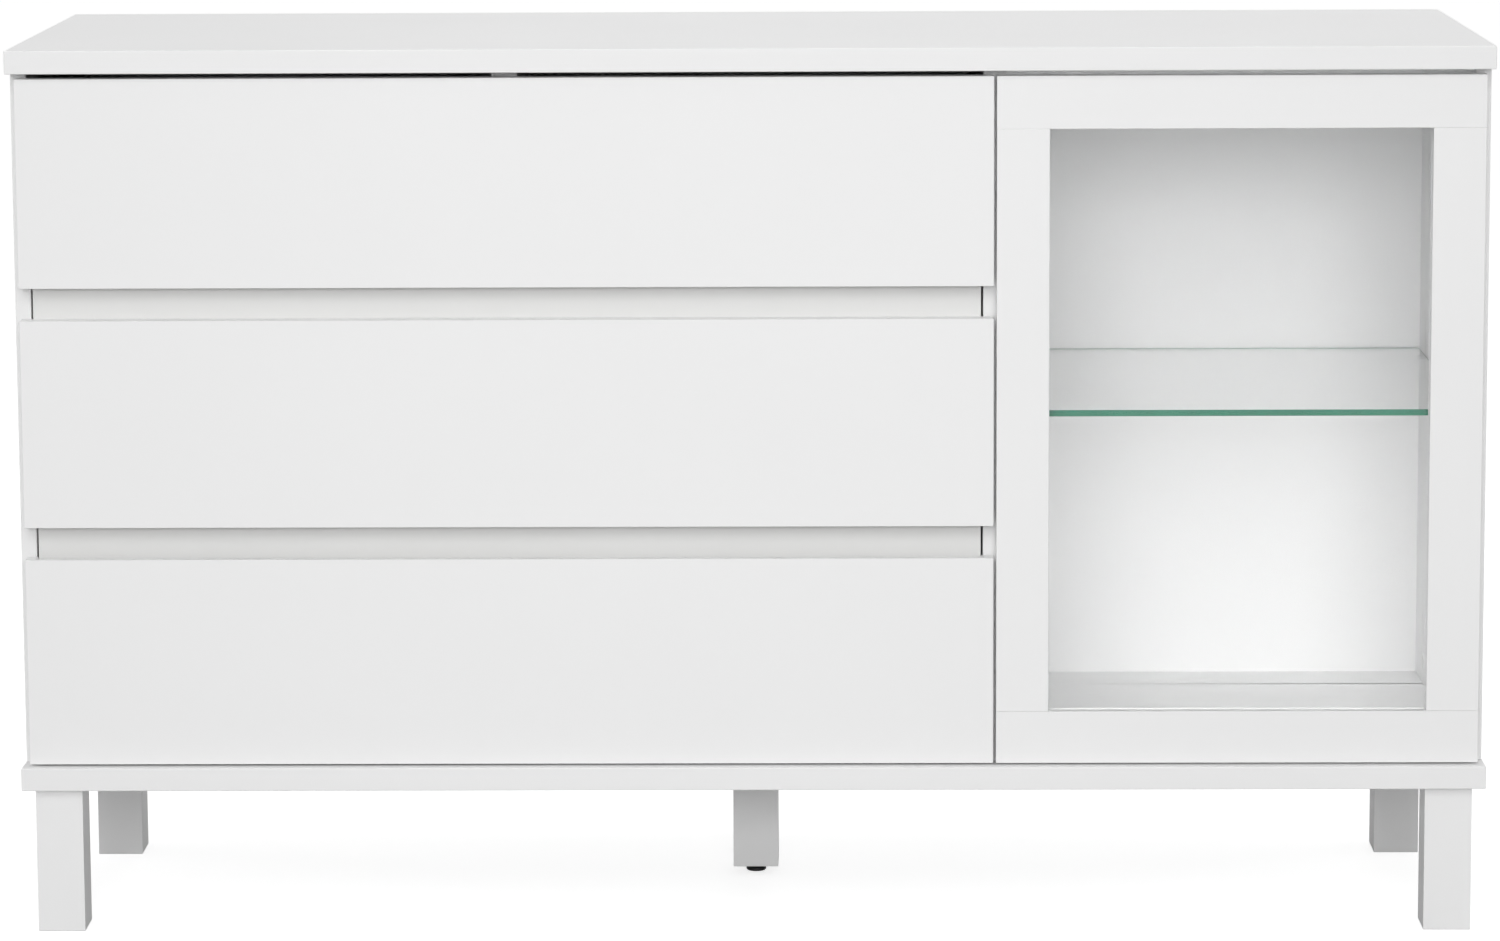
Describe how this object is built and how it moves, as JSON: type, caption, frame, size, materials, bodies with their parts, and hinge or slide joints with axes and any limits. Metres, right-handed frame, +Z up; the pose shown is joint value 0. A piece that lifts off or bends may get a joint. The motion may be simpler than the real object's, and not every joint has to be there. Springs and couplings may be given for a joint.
{
  "type": "sideboard buffet",
  "caption": "White sideboard on square legs with full-width finger-gap drawers on the left and a framed clear glass door over a glass shelf on the right.",
  "frame": {"origin": "on the floor under the middle of the top board", "axes": "+Z up, front faces -Y, +X to the right seen from the front"},
  "size_m": [1.4, 0.47, 0.85],
  "materials": {
    "white_foil": "satin white foil over chipboard, edges banded",
    "white_lacquer": "satin white lacquer over fibreboard or wood",
    "drawer_foil": "matt white foil over chipboard",
    "back_board": "matt white printed hardboard",
    "door_glass": "clear glass",
    "shelf_glass": "clear glass with a green edge",
    "steel": "bright zinc plated",
    "beech": "fluted beech dowel",
    "black_plastic": "matt moulded",
    "clear_plastic": "soft translucent"
  },
  "bodies": {
    "root": {"top_board": "white_foil", "bottom_board": "white_foil", "side_panel_left": "white_foil", "side_panel_right": "white_foil", "divider_panel": "white_foil", "back_panel_left": "back_board", "back_panel_right": "back_board", "top_batten": "white_foil", "leg_front_left": "white_lacquer", "leg_front_right": "white_lacquer", "leg_rear_left": "white_lacquer", "leg_rear_right": "white_lacquer", "leg_centre": "white_lacquer", "leg_bolts": "steel", "threaded_inserts": "steel", "cam_locks": "steel", "cam_bolts": "steel", "wood_dowels": "beech", "back_panel_screws": "steel", "shelf_pins": "steel", "hinge_arms": "steel", "hinge_plates": "steel", "drawer_top_cabinet_rails": "steel", "drawer_middle_cabinet_rails": "steel", "drawer_bottom_cabinet_rails": "steel"},
    "shelf": {"glass_shelf": "shelf_glass"},
    "foot": {"levelling_foot": "black_plastic"},
    "hinge_link": {"hinge_links": "steel"},
    "door": {"door_rail_top": "white_lacquer", "door_rail_bottom": "white_lacquer", "door_stile_left": "white_lacquer", "door_stile_right": "white_lacquer", "door_glass": "door_glass", "door_dowels": "beech", "door_bumpers": "clear_plastic", "hinge_cups": "steel"},
    "drawer_top": {"drawer_top_front": "white_lacquer", "drawer_top_box_front": "drawer_foil", "drawer_top_side_left": "drawer_foil", "drawer_top_side_right": "drawer_foil", "drawer_top_back": "drawer_foil", "drawer_top_bottom": "drawer_foil", "drawer_top_box_rails": "steel"},
    "slide_top": {"drawer_top_middle_rails": "steel"},
    "drawer_middle": {"drawer_middle_front": "white_lacquer", "drawer_middle_box_front": "drawer_foil", "drawer_middle_side_left": "drawer_foil", "drawer_middle_side_right": "drawer_foil", "drawer_middle_back": "drawer_foil", "drawer_middle_bottom": "drawer_foil", "drawer_middle_box_rails": "steel"},
    "slide_middle": {"drawer_middle_middle_rails": "steel"},
    "drawer_bottom": {"drawer_bottom_front": "white_lacquer", "drawer_bottom_box_front": "drawer_foil", "drawer_bottom_side_left": "drawer_foil", "drawer_bottom_side_right": "drawer_foil", "drawer_bottom_back": "drawer_foil", "drawer_bottom_bottom": "drawer_foil", "drawer_bottom_box_rails": "steel"},
    "slide_bottom": {"drawer_bottom_middle_rails": "steel"}
  },
  "joints": [
    {"name": "drawer_top_slide", "type": "slide", "parent": "root", "child": "drawer_top", "axis": [0, -1, 0], "range_m": [0, 0.39]},
    {"name": "slide_top_extend", "type": "slide", "parent": "root", "child": "slide_top", "axis": [0, -1, 0], "range_m": [0, 0.195]},
    {"name": "drawer_middle_slide", "type": "slide", "parent": "root", "child": "drawer_middle", "axis": [0, -1, 0], "range_m": [0, 0.39]},
    {"name": "slide_middle_extend", "type": "slide", "parent": "root", "child": "slide_middle", "axis": [0, -1, 0], "range_m": [0, 0.195]},
    {"name": "drawer_bottom_slide", "type": "slide", "parent": "root", "child": "drawer_bottom", "axis": [0, -1, 0], "range_m": [0, 0.39]},
    {"name": "slide_bottom_extend", "type": "slide", "parent": "root", "child": "slide_bottom", "axis": [0, -1, 0], "range_m": [0, 0.195]},
    {"name": "hinge_link_turn", "type": "hinge", "parent": "root", "child": "hinge_link", "pos_m": [0.656, -0.203, 0.2635], "axis": [0, 0, 1], "range_deg": [-28.6, 0]},
    {"name": "door_hinge", "type": "hinge", "parent": "hinge_link", "child": "door", "pos_m": [0.682, -0.209, 0.2635], "axis": [0, 0, 1], "range_deg": [0, 123.5]},
    {"name": "shelf_lift", "type": "slide", "parent": "root", "child": "shelf", "axis": [0, 0, 1], "range_m": [0, 0.03]},
    {"name": "levelling_foot_turn", "type": "slide", "parent": "root", "child": "foot", "axis": [0, 0, 1], "range_m": [0, 0.0025]}
  ],
  "couplings": [
    {"joint": "slide_top_extend", "follows": "drawer_top_slide", "ratio": 0.5},
    {"joint": "slide_middle_extend", "follows": "drawer_middle_slide", "ratio": 0.5},
    {"joint": "slide_bottom_extend", "follows": "drawer_bottom_slide", "ratio": 0.5},
    {"joint": "hinge_link_turn", "follows": "door_hinge", "ratio": -0.23077}
  ]
}
